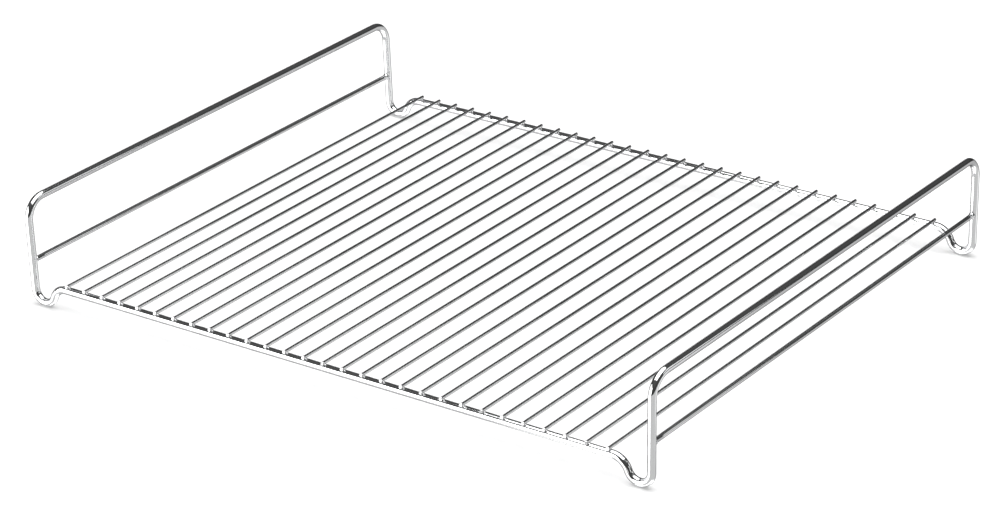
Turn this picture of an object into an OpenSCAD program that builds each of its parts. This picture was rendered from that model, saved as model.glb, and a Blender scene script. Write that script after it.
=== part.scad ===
// Wire grid insert for a baking tray. One closed loop of thick round wire makes the
// two crossbars, the four feet, the uprights and the two top side rails. Thin grid wires
// lie across the crossbars and a thinner rail runs across each side frame. Every thin
// wire is resistance welded where it meets the loop.
// The origin is on the table under the middle of the rack, +X to the right, +Y to the back.

/* [Overall] */
// Width over the outside of the foot bends
rack_width = 419; // [300:1:500]
// Depth over the outside of the two crossbars
rack_depth = 337; // [200:1:420]
// Height of the rack, from the table to the top of the side rails
rack_height = 64.5; // [50:0.5:100]

/* [Frame loop] */
// Diameter of the thick wire that is bent into the closed loop
frame_wire_d = 4.6; // [3.5:0.1:6]
// Height of the middle of the crossbars above the table
crossbar_height = 13.6; // [12:0.1:17]
// Bend radius of each foot, to the middle of the wire
foot_bend_r = 7.2; // [6:0.1:9]
// Bend radius where a crossbar turns down to a foot, to the middle of the wire
shoulder_bend_r = 10; // [8:0.1:13]
// Straight length between the shoulder bend and the foot bend
leg_straight = 1; // [0.5:0.1:3]
// Bend radius of the top corners, to the middle of the wire
corner_bend_r = 12; // [8:0.1:16]
// Outward lean of each side frame in degrees
side_lean = 1; // [0:0.25:3]

/* [Grid wires] */
// Number of grid wires
grid_wire_count = 29; // [5:1:33]
// Distance from the last grid wire to where its crossbar starts to bend
grid_side_margin = 1.8; // [1.6:0.1:12]
// Diameter of the grid wires
grid_wire_d = 1.9; // [1.5:0.1:2.8]
// How far each end of a grid wire passes the middle of its crossbar
grid_wire_overhang = 2; // [1.5:0.1:6]

/* [Side rails] */
// Diameter of the rail across each side frame
side_rail_d = 3.1; // [2.5:0.1:4]
// Height of the middle of the side rails above the table
side_rail_height = 26.4; // [22:0.1:36]

/* [Welds] */
// How deep a weld sets a grid wire down into its crossbar
weld_set_down = 0.25; // [0.1:0.05:0.4]
// Width that a grid wire's weld spreads past the side of the wire
grid_weld_spread = 0.25; // [0.1:0.05:0.35]
// Width that a side rail's weld spreads past the side of the rail
rail_weld_spread = 0.4; // [0.2:0.05:0.7]
// Length of a side rail's weld, from the side of the upright
rail_weld_length = 1.2; // [0.6:0.1:2]
// Bevel on the cut ends of the grid wires
cut_bevel = 0.2; // [0.1:0.05:0.4]

/* [Hidden] */
$fn = 72;
frame_wire_r = frame_wire_d / 2;
grid_wire_r = grid_wire_d / 2;
side_rail_r = side_rail_d / 2;

// Middle line of the loop: half spans of the crossbars and of the side frames
upright_x = rack_width / 2 - frame_wire_r;
crossbar_y = rack_depth / 2 - frame_wire_r;
foot_z = frame_wire_r;
rail_top_z = rack_height - frame_wire_r;

// The leg's slope is what the two bends and the straight need to drop from crossbar to foot
drop = crossbar_height - foot_z;
both_bends_r = foot_bend_r + shoulder_bend_r;
leg_slope = atan2(both_bends_r, leg_straight)
    + asin((drop - both_bends_r) / norm([both_bends_r, leg_straight]));

// The foot bend ends on the upright, which leans out by side_lean
foot_sweep = leg_slope + 90 - side_lean;
foot_end_x = foot_bend_r * cos(side_lean);
foot_end_z = foot_z + foot_bend_r * (1 - sin(side_lean));
foot_centre_x = upright_x - foot_bend_r;
crossbar_half = foot_centre_x - both_bends_r * sin(leg_slope) - leg_straight * cos(leg_slope);
upright_length = (rail_top_z - foot_end_z) / cos(side_lean) - corner_bend_r;

// The grid wires share the straight of the crossbars, and sit a little sunk in their tops
grid_pitch = 2 * (crossbar_half - grid_side_margin) / (grid_wire_count - 1);
crossbar_top_z = crossbar_height + frame_wire_r;
grid_wire_z = crossbar_top_z + grid_wire_r - weld_set_down;
grid_wire_length = 2 * (crossbar_y + grid_wire_overhang);

// A grid wire's weld is a cone that leaves the wire's flank and widens down into the crossbar
weld_top_r = 0.8 * grid_wire_r;
weld_slope = (grid_wire_r + grid_weld_spread - weld_top_r) / (grid_wire_z - crossbar_top_z);
weld_height = grid_wire_z - crossbar_top_z + frame_wire_r / 2;

// Where the leaning upright carries the side rail, and where its corner bend ends in the top rail
side_rail_x = foot_centre_x + foot_end_x + (side_rail_height - foot_end_z) * tan(side_lean);
top_rail_x = foot_centre_x + foot_end_x + (rail_top_z - foot_end_z) * tan(side_lean);

// Cold bending swells the wire by a hair, so a straight can run into a bend inside it
bend_swell = 0.02;
straight_run_in = 0.1;

function two_digits(i) = str(i < 10 ? "0" : "", i);
function grid_wire_name(i) = str("grid_wire_", two_digits(i));

// Straight stretch of frame wire along +Z that runs a little into the bends at its ends
module straight(length) {
    translate([0, 0, -straight_run_in])
        cylinder(h = length + 2 * straight_run_in, r = frame_wire_r);
}

// Bend of frame wire that starts along +Z at the origin and turns towards +X
module bend(radius, angle) {
    translate([radius, 0, 0])
        rotate([-90, 0, 0])
            rotate_extrude(angle = angle, start = 180)
                translate([radius, 0])
                    circle(r = frame_wire_r + bend_swell);
}

// Carries what follows to the end of a straight, along +Z again
module after_straight(length) {
    translate([0, 0, length])
        children();
}

// Carries what follows to the end of a bend towards +X
module after_bend(radius, angle) {
    translate([radius, 0, 0])
        rotate([0, angle, 0])
            translate([-radius, 0, 0])
                children();
}

// Stands at the middle of the front crossbar and looks along it, with +X of the path down
module from_crossbar_middle() {
    translate([0, -crossbar_y, crossbar_height])
        rotate([0, 90, 0])
            children();
}

// The same path, carried on to the bottom of the right front upright
module at_upright() {
    from_crossbar_middle()
        after_straight(crossbar_half)
            after_bend(shoulder_bend_r, leg_slope)
                after_straight(leg_straight)
                    mirror([1, 0, 0])
                        after_bend(foot_bend_r, foot_sweep)
                            children();
}

// Right front corner of the loop, from the end of the crossbar to the start of the side rail
module loop_corner() {
    from_crossbar_middle()
        after_straight(crossbar_half) {
            bend(shoulder_bend_r, leg_slope);
            after_bend(shoulder_bend_r, leg_slope) {
                straight(leg_straight);
                after_straight(leg_straight)
                    mirror([1, 0, 0])
                        bend(foot_bend_r, foot_sweep);
            }
        }
    at_upright() {
        straight(upright_length);
        after_straight(upright_length)
            rotate([0, 0, 90])
                bend(corner_bend_r, 90);
    }
}

// Straight of the front crossbar, which the grid wires are seated on
module crossbar(extra = 0) {
    half_length = crossbar_half + extra;
    translate([-half_length, -crossbar_y, crossbar_height])
        rotate([0, 90, 0])
            straight(2 * half_length);
}

// Straight of the right top rail
module top_rail() {
    translate([top_rail_x, crossbar_y - corner_bend_r, rail_top_z])
        rotate([90, 0, 0])
            straight(2 * (crossbar_y - corner_bend_r));
}

module both_sides(axis) {
    children();
    mirror(axis)
        children();
}

// Closed loop of thick wire, butt welded in the front crossbar
module frame_loop() {
    color("silver") {
        both_sides([1, 0, 0]) {
            both_sides([0, 1, 0])
                loop_corner();
            top_rail();
        }
        both_sides([0, 1, 0])
            crossbar();
    }
}

// Round wire along +Y with bevelled ends, centred on the origin
module cut_wire(length, r) {
    rotate([90, 0, 0])
        translate([0, 0, -length / 2])
            rotate_extrude()
                polygon([
                    [0, 0], [r - cut_bevel, 0], [r, cut_bevel],
                    [r, length - cut_bevel], [r - cut_bevel, length], [0, length]
                ]);
}

// Metal squeezed out around a grid wire's weld, from inside the crossbar up to the wire
module grid_weld() {
    translate([0, -crossbar_y, grid_wire_z - weld_height])
        cylinder(h = weld_height, r1 = weld_top_r + weld_slope * weld_height, r2 = weld_top_r);
}

// One grid wire with its two welds, seated in the tops of the crossbars
module grid_wire(i) {
    place_x = (i - (grid_wire_count + 1) / 2) * grid_pitch;
    color("lightgrey")
        difference() {
            translate([place_x, 0, 0]) {
                translate([0, 0, grid_wire_z])
                    cut_wire(grid_wire_length, grid_wire_r);
                both_sides([0, 1, 0])
                    grid_weld();
            }
            both_sides([0, 1, 0])
                crossbar(grid_side_margin);
        }
}

// Rail across the right side frame, coped to the uprights that it is welded between
module side_rail() {
    weld_start = crossbar_y - frame_wire_r - rail_weld_length;
    weld_r = side_rail_r + rail_weld_spread;
    difference() {
        translate([side_rail_x, 0, side_rail_height])
            rotate([90, 0, 0])
                rotate_extrude()
                    polygon([
                        [0, -crossbar_y], [weld_r, -crossbar_y], [side_rail_r, -weld_start],
                        [side_rail_r, weld_start], [weld_r, crossbar_y], [0, crossbar_y]
                    ]);
        both_sides([0, 1, 0])
            at_upright()
                straight(upright_length);
    }
}

module left_side_rail() {
    color("lightgrey")
        mirror([1, 0, 0])
            side_rail();
}

module right_side_rail() {
    color("lightgrey")
        side_rail();
}

frame_loop();
for (i = [1:grid_wire_count])
    grid_wire(i);
left_side_rail();
right_side_rail();
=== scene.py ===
import math

import bpy
from mathutils import Matrix, Vector, noise


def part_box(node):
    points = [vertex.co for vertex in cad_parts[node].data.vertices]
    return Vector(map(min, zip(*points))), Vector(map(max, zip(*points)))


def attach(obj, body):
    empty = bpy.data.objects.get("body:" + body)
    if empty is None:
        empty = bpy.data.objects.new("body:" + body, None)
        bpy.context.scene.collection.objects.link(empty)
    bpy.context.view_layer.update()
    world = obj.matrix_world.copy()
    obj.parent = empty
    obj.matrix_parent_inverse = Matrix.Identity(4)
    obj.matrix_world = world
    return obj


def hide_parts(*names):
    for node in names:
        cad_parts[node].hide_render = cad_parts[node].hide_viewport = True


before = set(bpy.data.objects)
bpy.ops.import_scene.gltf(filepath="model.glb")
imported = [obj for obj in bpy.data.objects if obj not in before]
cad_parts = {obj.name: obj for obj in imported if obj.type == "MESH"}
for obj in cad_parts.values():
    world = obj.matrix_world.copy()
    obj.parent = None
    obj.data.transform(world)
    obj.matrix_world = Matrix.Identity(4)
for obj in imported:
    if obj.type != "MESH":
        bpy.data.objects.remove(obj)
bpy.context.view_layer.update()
print("frame loaded")

mm = 0.001
closeTo = 1e-6     # metres, for heights that ought to be the same


# Shared mesh code

def meshObject(name, verts, faces, attributes, materials):
    # one mesh piece that rides on the root body, smooth, with its point attributes
    mesh = bpy.data.meshes.new(name)
    mesh.from_pydata(verts, [], faces)
    for key, values in attributes.items():
        kind = "FLOAT_VECTOR" if hasattr(values[0], "__len__") else "FLOAT"
        layer = mesh.attributes.new(key, kind, "POINT")
        for item, value in zip(layer.data, values):
            if kind == "FLOAT_VECTOR":
                item.vector = value
            else:
                item.value = value
    mesh.polygons.foreach_set("use_smooth", [True] * len(mesh.polygons))
    mesh.update()
    obj = bpy.data.objects.new(name, mesh)
    bpy.context.scene.collection.objects.link(obj)
    for material in materials:
        mesh.materials.append(material)
    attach(obj, "root")
    return obj


class Shape:
    # collects the rings, patches and point attributes of one piece
    def __init__(self):
        self.verts, self.faces, self.along, self.weld = [], [], [], []

    def point(self, position, wireSpace, weld=0.0):
        self.verts.append(tuple(position))
        self.along.append(tuple(wireSpace))
        self.weld.append(weld)
        return len(self.verts) - 1

    def bridge(self, ringA, ringB):
        count = len(ringA)
        for k in range(count):
            after = (k + 1) % count
            self.faces.append((ringA[k], ringA[after], ringB[after], ringB[k]))

    def cap(self, ring, centre, wireSpace, flip=False, weld=0.0):
        hub = self.point(centre, wireSpace, weld)
        count = len(ring)
        for k in range(count):
            after = (k + 1) % count
            self.faces.append((ring[after], ring[k], hub) if flip else (ring[k], ring[after], hub))

    def build(self, name, slotName, materials):
        return meshObject(name, self.verts, self.faces,
                          {"wireSpace": self.along, "weldMask": self.weld}, materials)


def smoothStep(low, high, value):
    t = min(max((value - low) / (high - low), 0.0), 1.0)
    return t * t * (3 - 2 * t)


def wobble(seed, value):
    return noise.noise(Vector((value, seed * 7.31, seed * 1.7)))


# Shared materials

wireFinish = {
    "colour": (0.70, 0.705, 0.71),        # bright plating over steel
    "deepColour": (0.63, 0.635, 0.645),   # thinner plating in the drawing lines
    "weldColour": (0.55, 0.55, 0.555),    # dulled plating beside a weld
    "rim": 0.25,                          # how much of the gloss is left at a wire's outline
    "roughness": 0.045,
    "roughnessSpread": 0.05,
    "weldRoughness": 0.22,
    "bumpDistance": 0.006 * mm,
    "drawLineScale": (45.0, 5500.0, 5500.0),      # per metre, along the wire and across it
    "drawLineRange": (0.52, 0.72),        # noise levels between which a line shows
    "drawLineHeight": 0.35,               # share of the bump
    "waveScale": (38.0, 120.0, 120.0),
    "waveHeight": 6.0,
    "speckScale": (1600.0, 1600.0, 1600.0),
    "speckRange": (0.35, 0.8),
    "weldGrainScale": (2600.0, 2600.0, 2600.0),
    "weldGrainRange": (0.25, 0.65),
    "weldGrainHeight": 5.0,
}


def newNode(tree, kind, **settings):
    node = tree.nodes.new(kind)
    for key, value in settings.items():
        setattr(node, key, value)
    return node


def feed(tree, socket, value):
    # a value is another node's output or a plain number or colour
    if hasattr(value, "is_output"):
        tree.links.new(value, socket)
    else:
        socket.default_value = value


def finishGroup():
    # colour, roughness and height of plated drawn wire, from its place along and round the wire
    tree = bpy.data.node_groups.new("wireFinishPattern", "ShaderNodeTree")
    for name, kind in (("Color", "NodeSocketColor"), ("Roughness", "NodeSocketFloat"),
                       ("Height", "NodeSocketFloat")):
        tree.interface.new_socket(name, in_out="OUTPUT", socket_type=kind)
    link = tree.links.new
    out = newNode(tree, "NodeGroupOutput")
    place = newNode(tree, "ShaderNodeAttribute", attribute_name="wireSpace")
    weld = newNode(tree, "ShaderNodeAttribute", attribute_name="weldMask")

    def pattern(scale, detail):
        stretch = newNode(tree, "ShaderNodeMapping")
        stretch.inputs["Scale"].default_value = scale
        link(place.outputs["Vector"], stretch.inputs["Vector"])
        tex = newNode(tree, "ShaderNodeTexNoise")
        tex.inputs["Scale"].default_value = 1.0
        tex.inputs["Detail"].default_value = detail
        link(stretch.outputs["Vector"], tex.inputs["Vector"])
        return tex.outputs["Fac"]

    drawLines = pattern(wireFinish["drawLineScale"], 3.0)    # die lines along the wire
    slowWave = pattern(wireFinish["waveScale"], 1.0)         # straightener's waves
    specks = pattern(wireFinish["speckScale"], 2.0)          # plating grain
    weldGrain = pattern(wireFinish["weldGrainScale"], 3.0)

    mixSockets = {"FLOAT": (2, 3, 0), "RGBA": (6, 7, 2)}     # inputs A and B, and the output

    def mix(kind, factor, a, b):
        node = newNode(tree, "ShaderNodeMix", data_type=kind)
        inputA, inputB, result = mixSockets[kind]
        feed(tree, node.inputs[0], factor)
        feed(tree, node.inputs[inputA], a)
        feed(tree, node.inputs[inputB], b)
        return node.outputs[result]

    def maths(operation, a, b):
        node = newNode(tree, "ShaderNodeMath", operation=operation)
        feed(tree, node.inputs[0], a)
        feed(tree, node.inputs[1], b)
        return node.outputs[0]

    def ramp(value, levels):
        node = newNode(tree, "ShaderNodeMapRange", clamp=True)
        link(value, node.inputs["Value"])
        node.inputs["From Min"].default_value = levels[0]
        node.inputs["From Max"].default_value = levels[1]
        return node.outputs["Result"]

    lineMask = ramp(drawLines, wireFinish["drawLineRange"])
    plated = mix("RGBA", lineMask, (*wireFinish["colour"], 1), (*wireFinish["deepColour"], 1))
    weldNoise = ramp(weldGrain, wireFinish["weldGrainRange"])
    weldPatch = maths("MULTIPLY", weld.outputs["Fac"], weldNoise)
    link(mix("RGBA", weldPatch, plated, (*wireFinish["weldColour"], 1)), out.inputs["Color"])

    speckNoise = ramp(specks, wireFinish["speckRange"])
    speckled = maths("MULTIPLY", speckNoise, wireFinish["roughnessSpread"])
    rough = maths("ADD", speckled, wireFinish["roughness"])
    link(mix("FLOAT", weldPatch, rough, wireFinish["weldRoughness"]), out.inputs["Roughness"])

    fine = maths("MULTIPLY", drawLines, wireFinish["drawLineHeight"])
    waves = maths("ADD", maths("MULTIPLY", slowWave, wireFinish["waveHeight"]), fine)
    weldHeight = maths("MULTIPLY", weldGrain, weld.outputs["Fac"])
    rugged = maths("MULTIPLY", weldHeight, wireFinish["weldGrainHeight"])
    link(maths("ADD", waves, rugged), out.inputs["Height"])
    return tree


finishPattern = finishGroup()


def platedMaterial(name):
    material = bpy.data.materials.new(name)
    material.use_nodes = True
    tree = material.node_tree
    shader = tree.nodes["Principled BSDF"]
    shader.inputs["Metallic"].default_value = 1.0
    shader.inputs["Specular Tint"].default_value = (*[wireFinish["rim"]] * 3, 1)
    finish = newNode(tree, "ShaderNodeGroup", node_tree=finishPattern)
    bump = newNode(tree, "ShaderNodeBump")
    bump.inputs["Strength"].default_value = 1.0
    bump.inputs["Distance"].default_value = wireFinish["bumpDistance"]
    tree.links.new(finish.outputs["Color"], shader.inputs["Base Color"])
    tree.links.new(finish.outputs["Roughness"], shader.inputs["Roughness"])
    tree.links.new(finish.outputs["Height"], bump.inputs["Height"])
    tree.links.new(bump.outputs["Normal"], shader.inputs["Normal"])
    return material


frameMaterial = platedMaterial("platedFrameWire")
gridMaterial = platedMaterial("platedGridWire")
railMaterial = platedMaterial("platedRailWire")
print("materials made")


# The closed loop of thick wire

loopWire = {
    "wireDiameter": 4.6 * mm,
    "width": 419 * mm,             # over the outside of the foot bends
    "depth": 337 * mm,
    "height": 64.5 * mm,
    "crossbarHeight": 13.6 * mm,
    "footBend": 7.2 * mm,
    "shoulderBend": 10 * mm,
    "legStraight": 1 * mm,
    "cornerBend": 12 * mm,
    "lean": math.radians(1),
    "segments": 32,
    "bendStep": math.radians(4.5),
    "straightStep": 6.5 * mm,
    "crossbarStep": 1.625 * mm,    # fine enough for the dull patch at each weld
    "buttWeldX": -84.5 * mm,       # on the front crossbar
    "buttWeldHeight": 0.1 * mm,
    "buttWeldWidth": 0.9 * mm,
    "buttWeldDulling": 0.8,
    "buttWeldDullWidth": 3.5,      # times the ring's width
    "buttWeldGround": (0.2, 0.9),  # how far to the front the ring fades out
    "stainTop": (0.45, 0.95),      # how far up the wire a grid weld's dull patch starts
    "stainReach": (1.3 * mm, 3.2 * mm),
    "elsewhere": 1.0,              # a distance in metres from any weld
}

wireR = loopWire["wireDiameter"] / 2
uprightX = loopWire["width"] / 2 - wireR
crossbarY = loopWire["depth"] / 2 - wireR
crossbarZ = loopWire["crossbarHeight"]
railTopZ = loopWire["height"] - wireR
bothBends = loopWire["footBend"] + loopWire["shoulderBend"]
legSlope = math.atan2(bothBends, loopWire["legStraight"]) + math.asin(
    (crossbarZ - wireR - bothBends) / math.hypot(bothBends, loopWire["legStraight"]))
footSweep = legSlope + math.pi / 2 - loopWire["lean"]
footEndZ = wireR + loopWire["footBend"] * (1 - math.sin(loopWire["lean"]))
footEndX = uprightX - loopWire["footBend"] * (1 - math.cos(loopWire["lean"]))
uprightLength = (railTopZ - footEndZ) / math.cos(loopWire["lean"]) - loopWire["cornerBend"]
crossbarHalf = (uprightX - loopWire["footBend"] - bothBends * math.sin(legSlope)
                - loopWire["legStraight"] * math.cos(legSlope))


def quarterPath():
    # middle line from the front crossbar's middle to the right top rail's middle
    points = [(Vector((0, -crossbarY, crossbarZ)), Vector((1, 0, 0)))]

    def straight(length, step):
        start, heading = points[-1]
        count = max(1, round(length / step))
        for k in range(1, count + 1):
            points.append((start + heading * (length * k / count), heading))

    def bend(radius, angle, toward):
        start, heading = points[-1]
        centre = start + toward * radius
        count = max(2, round(angle / loopWire["bendStep"]))
        for k in range(1, count + 1):
            a = angle * k / count
            points.append((centre - toward * (radius * math.cos(a)) + heading * (radius * math.sin(a)),
                           heading * math.cos(a) + toward * math.sin(a)))

    def sideways(sign):
        heading = points[-1][1]
        return Vector((heading.z, 0, -heading.x)) * sign

    straight(crossbarHalf, loopWire["crossbarStep"])
    bend(loopWire["shoulderBend"], legSlope, sideways(1))
    straight(loopWire["legStraight"], loopWire["straightStep"])
    bend(loopWire["footBend"], footSweep, sideways(-1))
    straight(uprightLength, loopWire["straightStep"])
    bend(loopWire["cornerBend"], math.pi / 2, Vector((0, 1, 0)))
    straight(crossbarY - loopWire["cornerBend"], loopWire["straightStep"])
    return points


def mirrored(points, x, y):
    return [(Vector((p.x * x, p.y * y, p.z)), Vector((t.x * x, t.y * y, t.z))) for p, t in points]


def reverse(points):
    return [(p, -t) for p, t in points[::-1]]


def closedLoopPath():
    quarter = quarterPath()
    return (quarter[:-1] + reverse(mirrored(quarter, 1, -1))[:-1]
            + mirrored(quarter, -1, -1)[:-1] + reverse(mirrored(quarter, -1, 1))[:-1])


def carriedFrames(path):
    # one side direction per point, carried along without twisting, then closed evenly
    sides = [Vector((0, 0, 1))]
    for (_, a), (_, b) in zip(path, path[1:] + path[:1]):
        turn = a.rotation_difference(b)
        sides.append((turn @ sides[-1]).normalized())
    first, last, heading = sides[0], sides[-1], path[0][1]
    twist = math.atan2(first.cross(last).dot(heading), first.dot(last))
    out = []
    for k, (_, t) in enumerate(path):
        side = sides[k]
        side = (side - t * side.dot(t)).normalized()
        a = -twist * k / len(path)
        other = t.cross(side)
        out.append((side * math.cos(a) + other * math.sin(a),
                    other * math.cos(a) - side * math.sin(a)))
    return out


gridBoxes = [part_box("grid_wire_%02d" % k) for k in range(1, 30)]
gridX = [(low[0] + high[0]) / 2 for low, high in gridBoxes]


def makeLoop():
    path = closedLoopPath()
    frames = carriedFrames(path)
    shape, rings, travelled = Shape(), [], 0.0
    count = loopWire["segments"]
    for k, ((p, t), (side, other)) in enumerate(zip(path, frames)):
        if k:
            travelled += (p - path[k - 1][0]).length
        swell = 0.0
        butt = 0.0
        if p.y < 0 and abs(p.z - crossbarZ) < closeTo:
            off = (p.x - loopWire["buttWeldX"]) / loopWire["buttWeldWidth"]
            swell = loopWire["buttWeldHeight"] * math.exp(-off * off)
            dullOff = off / loopWire["buttWeldDullWidth"]
            butt = loopWire["buttWeldDulling"] * math.exp(-dullOff ** 2)
        nearWeld = loopWire["elsewhere"]
        if abs(p.z - crossbarZ) < closeTo:
            nearWeld = min(abs(p.x - x) for x in gridX)
        ring = []
        for j in range(count):
            a = 2 * math.pi * j / count
            out = side * math.cos(a) + other * math.sin(a)
            top = smoothStep(*loopWire["stainTop"], out.z)
            top *= 1 - smoothStep(*loopWire["stainReach"], nearWeld)
            ground = smoothStep(*loopWire["buttWeldGround"], -out.y)     # flush in front
            spot = p + out * (wireR + swell * (1 - ground))
            ring.append(shape.point(spot, (travelled, math.cos(a) * wireR, math.sin(a) * wireR),
                                    max(top, butt)))
        rings.append(ring)
    for a, b in zip(rings, rings[1:] + rings[:1]):
        shape.bridge(a, b)
    loop = shape.build("frame_loop_wire", "frame_wire", [frameMaterial])
    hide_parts("frame_loop")


makeLoop()
print("loop made")


# The grid wires

gridWire = {
    "radius": 0.95 * mm,
    "segments": 22,
    "step": 9 * mm,
    "cutBevel": 0.16 * mm,
    "cutTilt": 0.10 * mm,          # how far the sheared end is out of square
    "collarSpread": 0.36 * mm,     # past the wire's side, on the crossbar
    "collarLength": 1.35 * mm,     # half length along the wire
    "collarSegments": 28,
    "collarRings": 6,
    "collarUneven": 0.16,
    "collarLumps": 2.2,            # lumps round a collar
    "collarSeat": 0.03 * mm,       # how far a collar's rim sits in the crossbar
    "collarTopWidth": 0.86,        # of the wire's radius
    "collarTopLength": 0.75 * mm,
    "collarTopDrop": 0.55,         # how far round the wire's flank a collar climbs
    "collarEndShare": 0.3,         # the part of a collar that lies under the wire
    "collarEase": 1.7,
    "collarDulling": 0.75,
    "bevelBulge": (0.4, 0.25),     # place on the bevel and how far short of the radius it is
    "cutTurn": 2.4,                # radians from one wire's shear direction to the next
    "cutDulling": 0.35,
    "stainReach": (1.0 * mm, 4.5 * mm),
    "stainUnder": (-0.2, 0.7),
    "stainStrength": (0.15, 0.6),  # all round, and more on the underside
    "weldSteps": (-4, -2, -1, 0, 1, 2, 4),        # mm from the crossbar's middle
}


def weldCollar(shape, x, sign, wireZ, seed):
    # metal squeezed out between a grid wire and the crossbar under it
    r, count = gridWire["radius"], gridWire["collarSegments"]
    y0 = sign * crossbarY
    lumps = gridWire["collarLumps"]
    rings = []
    for k in range(gridWire["collarRings"] + 1):
        t = k / gridWire["collarRings"]
        ring = []
        for j in range(count):
            a = 2 * math.pi * j / count
            acrossLump = wobble(seed, lumps * math.cos(a) + 5)
            alongLump = wobble(seed + 3, lumps * math.sin(a) + 9)
            uneven = 1 + gridWire["collarUneven"] * acrossLump * (1 - t)
            uneven += gridWire["collarUneven"] * alongLump * (1 - t)
            lowX = (r + gridWire["collarSpread"]) * math.cos(a) * uneven
            lowY = gridWire["collarLength"] * math.sin(a) * uneven
            lowZ = crossbarZ + math.sqrt(max(wireR ** 2 - lowY ** 2, 0)) - gridWire["collarSeat"]
            highX = gridWire["collarTopWidth"] * r * math.cos(a)
            highY = gridWire["collarTopLength"] * math.sin(a)
            onFlank = abs(math.cos(a)) > gridWire["collarEndShare"]
            climb = gridWire["collarTopDrop"] if onFlank else 1
            highZ = wireZ - math.sqrt(r * r - highX * highX) * climb
            ease = t ** gridWire["collarEase"]
            spot = Vector((x + lowX + (highX - lowX) * t, y0 + lowY + (highY - lowY) * t,
                           lowZ + (highZ - lowZ) * ease))
            ring.append(shape.point(spot, (y0 + lowY, lowX, lowZ), gridWire["collarDulling"]))
        rings.append(ring)
    for a, b in zip(rings, rings[1:]):
        shape.bridge(a, b)


def makeGridWire(number):
    node = "grid_wire_%02d" % number
    low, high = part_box(node)
    x, r, count = (low[0] + high[0]) / 2, gridWire["radius"], gridWire["segments"]
    z = high[2] - r
    shape = Shape()
    bevel = gridWire["cutBevel"]
    midway, short = gridWire["bevelBulge"]
    stops = [(low[1], r - bevel), (low[1] + midway * bevel, r - short * bevel), (low[1] + bevel, r)]
    inner = max(2, round((high[1] - low[1]) / gridWire["step"]))
    weldStops = [s * crossbarY + d * mm for s in (-1, 1) for d in gridWire["weldSteps"]]
    places = sorted([low[1] + (high[1] - low[1]) * k / inner for k in range(1, inner)] + weldStops)
    stops += [(y, r) for y in places if low[1] + 2 * bevel < y < high[1] - 2 * bevel]
    stops += [(high[1] - bevel, r), (high[1] - midway * bevel, r - short * bevel)]
    stops += [(high[1], r - bevel)]
    turn = number * gridWire["cutTurn"]
    stainAround, stainBelow = gridWire["stainStrength"]
    rings = []
    for y, ringR in stops:
        toCrossbar = min(abs(y - crossbarY), abs(y + crossbarY))
        nearEnd = 1 - smoothStep(*gridWire["stainReach"], toCrossbar)
        tilt = 0.0
        if y < low[1] + 2 * bevel:
            tilt = gridWire["cutTilt"]
        if y > high[1] - 2 * bevel:
            tilt = -gridWire["cutTilt"]
        ring = []
        for j in range(count):
            a = 2 * math.pi * j / count
            lift = tilt * (1 + math.cos(a - turn)) / 2
            below = smoothStep(*gridWire["stainUnder"], -math.sin(a))
            ring.append(shape.point((x + ringR * math.cos(a), y + lift, z + ringR * math.sin(a)),
                                    (y + number, r * math.cos(a), r * math.sin(a)),
                                    nearEnd * (stainAround + stainBelow * below)))
        rings.append(ring)
    for a, b in zip(rings, rings[1:]):
        shape.bridge(b, a)
    mid = gridWire["cutTilt"] / 2
    dull = gridWire["cutDulling"]
    shape.cap(rings[0], (x, low[1] + mid, z), (low[1] + number, 0, 0), flip=False, weld=dull)
    shape.cap(rings[-1], (x, high[1] - mid, z), (high[1] + number, 0, 0), flip=True, weld=dull)
    for sign in (-1, 1):
        weldCollar(shape, x, sign, z, number * 2 + sign)
    wire = shape.build(node + "_look", "grid_wire", [gridMaterial])
    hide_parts(node)
    markCutEnds(wire.data)


def markCutEnds(mesh):
    # the sheared end faces keep a crisp edge
    for polygon in mesh.polygons:
        if len(polygon.vertices) == 3 and abs(polygon.normal.y) > 0.9:
            polygon.use_smooth = False


for number in range(1, 30):
    makeGridWire(number)
print("grid wires made")


# The side rails

sideRail = {
    "radius": 1.55 * mm,
    "segments": 28,
    "step": 6 * mm,
    "flareLength": 1.15 * mm,
    "flareSpread": 0.45 * mm,
    "flareUneven": 0.3,
    "flareRings": 9,
    "flareRise": 0.5,              # share of the bead's length over which it swells
    "flareFall": (0.6, 0.25),      # where it draws in again, and by how much
    "flareDulling": 0.7,
    "seat": 0.05 * mm,             # how far a rail's end sits in the upright
}


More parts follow.
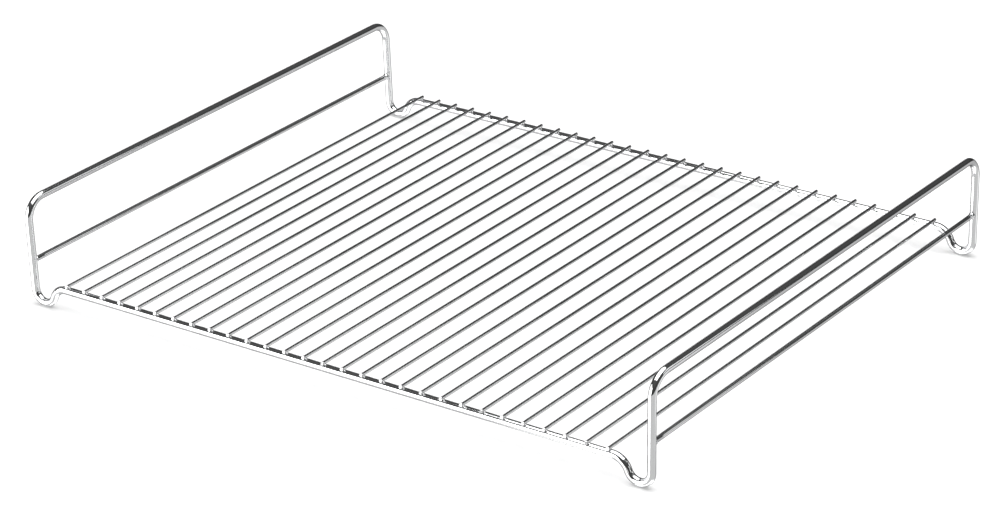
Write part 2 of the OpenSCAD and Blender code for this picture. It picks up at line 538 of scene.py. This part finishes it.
def makeSideRail(node, side):
    low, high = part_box(node)
    z = (low[2] + high[2]) / 2
    x = side * (footEndX + (z - footEndZ) * math.tan(loopWire["lean"]))
    r, count = sideRail["radius"], sideRail["segments"]
    shape, rings = Shape(), []
    flare = crossbarY - wireR - sideRail["flareLength"]
    fallFrom, fallShare = sideRail["flareFall"]
    inner = max(2, round(2 * flare / sideRail["step"]))
    stops = [(-flare + 2 * flare * k / inner, 0.0, 0) for k in range(inner + 1)]
    ends = [k / sideRail["flareRings"] for k in range(1, sideRail["flareRings"] + 1)]
    stops = [(-flare, t, -1) for t in ends[::-1]] + stops + [(flare, t, 1) for t in ends]
    for y, t, end in stops:
        ring = []
        for j in range(count):
            a = 2 * math.pi * j / count
            c, s = math.cos(a), math.sin(a)
            uneven = 1 + sideRail["flareUneven"] * wobble(side * 5 + end * 3, 3 * c + 2 * s)
            bead = smoothStep(0.0, sideRail["flareRise"], t)
            bead *= 1 - fallShare * smoothStep(fallFrom, 1.0, t)
            ringR = r + sideRail["flareSpread"] * uneven * bead
            spotY = y
            if end:
                cope = math.sqrt(wireR ** 2 - min(abs(ringR * c), wireR) ** 2)
                reach = crossbarY - cope + sideRail["seat"]
                spotY = end * (flare + (reach - flare) * t)
            ring.append(shape.point((x + ringR * c, spotY, z + ringR * s),
                                    (spotY + side, r * c, r * s), sideRail["flareDulling"] * t))
        rings.append(ring)
    for a, b in zip(rings, rings[1:]):
        shape.bridge(b, a)
    rail = shape.build(node + "_look", "side_rail", [railMaterial])
    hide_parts(node)


makeSideRail("left_side_rail", -1)
makeSideRail("right_side_rail", 1)
print("side rails made")


# Studio: pale floor, soft panels, camera

studio = {
    "floorSize": 30.0,
    "floorDrop": 0.2 * mm,         # below the feet, so that nothing flickers
    "paper": 0.8,
    "floorSeenByWire": 0.72,       # what the wires mirror of the floor
    "floorGloss": 0.60,
    "floorGlossRoughness": 0.08,
    "roomLow": 0.06,               # what the wires see of the room, low down and overhead
    "roomHigh": 0.12,
    "roomFade": (0.25, 1.0),       # heights of view between which the room changes
    "roomLight": 0.35,
    "panels": {                    # place, aim point, width, height, power
        "overhead": ((0.15, 0.0, 1.15), (0.15, 0.0, 0.0), 1.5, 1.5, 24.0),
        "frontLeft": ((-1.25, -1.80, 0.60), (0.0, 0.0, 0.35), 2.5, 1.1, 44.0),
        "right": ((1.75, 1.20, 0.75), (0.0, 0.0, 0.1), 1.0, 0.6, 2.4),
        "backLeft": ((-1.6, 1.75, 0.30), (0.0, 0.0, 0.05), 1.6, 0.6, 5.0),
    },
}


def makeFloor():
    half = studio["floorSize"] / 2
    mesh = bpy.data.meshes.new("floor")
    mesh.from_pydata([(-half, -half, 0), (half, -half, 0), (half, half, 0), (-half, half, 0)], [],
                     [(0, 1, 2, 3)])
    floor = bpy.data.objects.new("floor", mesh)
    bpy.context.scene.collection.objects.link(floor)
    floor.location.z = -studio["floorDrop"]
    material = bpy.data.materials.new("floorPaper")
    material.use_nodes = True
    tree = material.node_tree
    tree.nodes.clear()
    link = tree.links.new
    out = newNode(tree, "ShaderNodeOutputMaterial")
    path = newNode(tree, "ShaderNodeLightPath")
    paper = newNode(tree, "ShaderNodeBsdfDiffuse")
    paper.inputs["Color"].default_value = (*[studio["paper"]] * 3, 1)
    table = newNode(tree, "ShaderNodeEmission")
    table.inputs["Strength"].default_value = studio["floorSeenByWire"]
    gloss = newNode(tree, "ShaderNodeBsdfGlossy")
    gloss.inputs["Color"].default_value = (*[studio["floorGloss"]] * 3, 1)
    gloss.inputs["Roughness"].default_value = studio["floorGlossRoughness"]
    sheen = newNode(tree, "ShaderNodeAddShader")
    link(table.outputs[0], sheen.inputs[0])
    link(gloss.outputs[0], sheen.inputs[1])
    pick = newNode(tree, "ShaderNodeMixShader")
    link(path.outputs["Is Glossy Ray"], pick.inputs["Fac"])
    link(paper.outputs[0], pick.inputs[1])
    link(sheen.outputs[0], pick.inputs[2])
    link(pick.outputs[0], out.inputs["Surface"])
    mesh.materials.append(material)


def makeWorld():
    world = bpy.data.worlds.new("studioWorld")
    bpy.context.scene.world = world
    world.use_nodes = True
    tree = world.node_tree
    tree.nodes.clear()
    link = tree.links.new
    out = newNode(tree, "ShaderNodeOutputWorld")
    path = newNode(tree, "ShaderNodeLightPath")
    levels = {}
    for key, strength in (("camera", 1.0), ("glossy", 1.0), ("light", studio["roomLight"])):
        levels[key] = newNode(tree, "ShaderNodeBackground")
        levels[key].inputs["Strength"].default_value = strength
    room = newNode(tree, "ShaderNodeTexCoord")
    height = newNode(tree, "ShaderNodeSeparateXYZ")
    shade = newNode(tree, "ShaderNodeMapRange", clamp=True)
    shade.inputs["From Min"].default_value = studio["roomFade"][0]
    shade.inputs["From Max"].default_value = studio["roomFade"][1]
    shade.inputs["To Min"].default_value = studio["roomLow"]
    shade.inputs["To Max"].default_value = studio["roomHigh"]
    link(room.outputs["Generated"], height.inputs[0])
    link(height.outputs["Z"], shade.inputs["Value"])
    link(shade.outputs["Result"], levels["glossy"].inputs["Color"])
    inner = newNode(tree, "ShaderNodeMixShader")
    outer = newNode(tree, "ShaderNodeMixShader")
    link(path.outputs["Is Glossy Ray"], inner.inputs["Fac"])
    link(levels["light"].outputs[0], inner.inputs[1])
    link(levels["glossy"].outputs[0], inner.inputs[2])
    link(path.outputs["Is Camera Ray"], outer.inputs["Fac"])
    link(inner.outputs[0], outer.inputs[1])
    link(levels["camera"].outputs[0], outer.inputs[2])
    link(outer.outputs[0], out.inputs["Surface"])


def makePanels():
    for name, (place, aim, width, height, power) in studio["panels"].items():
        data = bpy.data.lights.new(name, "AREA")
        data.shape = "RECTANGLE"
        data.size, data.size_y, data.energy = width, height, power
        light = bpy.data.objects.new(name, data)
        bpy.context.scene.collection.objects.link(light)
        light.location = place
        back = (Vector(place) - Vector(aim)).normalized()
        upright = Vector((0, 1, 0)) if abs(back.z) > 0.9 else Vector((0, 0, 1))
        across = upright.cross(back).normalized()
        light.matrix_world = Matrix.Translation(place) @ Matrix(
            (across, back.cross(across), back)).transposed().to_4x4()


view = {
    "place": (1.060781, -1.461214, 0.831078),
    "turn": (65.75769, 2.24820, 36.84446),      # degrees
    "lens": 126.04,
    "shift": 0.10,
    "sensor": 36.0,
    "clipEnd": 100,
}


def makeCamera():
    data = bpy.data.cameras.new("camera")
    data.sensor_width = view["sensor"]
    data.lens = view["lens"]
    data.shift_x = view["shift"]
    data.dof.use_dof = False
    data.clip_end = view["clipEnd"]
    camera = bpy.data.objects.new("camera", data)
    bpy.context.scene.collection.objects.link(camera)
    camera.location = view["place"]
    camera.rotation_euler = [math.radians(a) for a in view["turn"]]
    bpy.context.scene.camera = camera


makeFloor()
makeWorld()
makePanels()
makeCamera()
bpy.context.scene.view_settings.view_transform = "Standard"
print("studio made")
